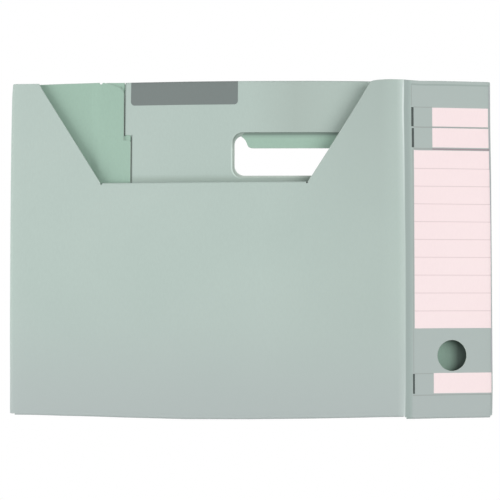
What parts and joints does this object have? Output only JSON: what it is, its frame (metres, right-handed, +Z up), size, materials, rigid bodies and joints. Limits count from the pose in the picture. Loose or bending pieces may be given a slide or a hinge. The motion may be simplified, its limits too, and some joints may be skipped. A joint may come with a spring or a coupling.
{
  "type": "document file box",
  "caption": "File box of folded card, collapsed flat and lying on its back, with a wide sloping cut in the front, a hand hole in the back and a finger hole in the labelled spine.",
  "frame": {"origin": "middle of the footprint, on the surface that the collapsed box lies on", "axes": "+X along the box from the end fold to the label spine, +Y from the bottom folds to the open top edge, +Z up, out of the front panel"},
  "size_m": [0.3834, 0.266, 0.017],
  "materials": {
    "card": "grey-green printed board, matte, green-grey inside",
    "grey_print": "flat dark grey printing ink on the card",
    "pale_print": "pale pink-white printed label field"
  },
  "bodies": {
    "root": {"card_body": "card", "title_patch": "grey_print", "short_field_1": "pale_print", "short_field_2": "pale_print", "label_row_1": "pale_print", "label_row_2": "pale_print", "label_row_3": "pale_print", "label_row_4": "pale_print", "label_row_5": "pale_print", "label_row_6": "pale_print", "label_row_7": "pale_print", "label_row_8": "pale_print", "label_row_9": "pale_print", "label_row_10": "pale_print", "foot_field": "pale_print"}
  },
  "joints": []
}
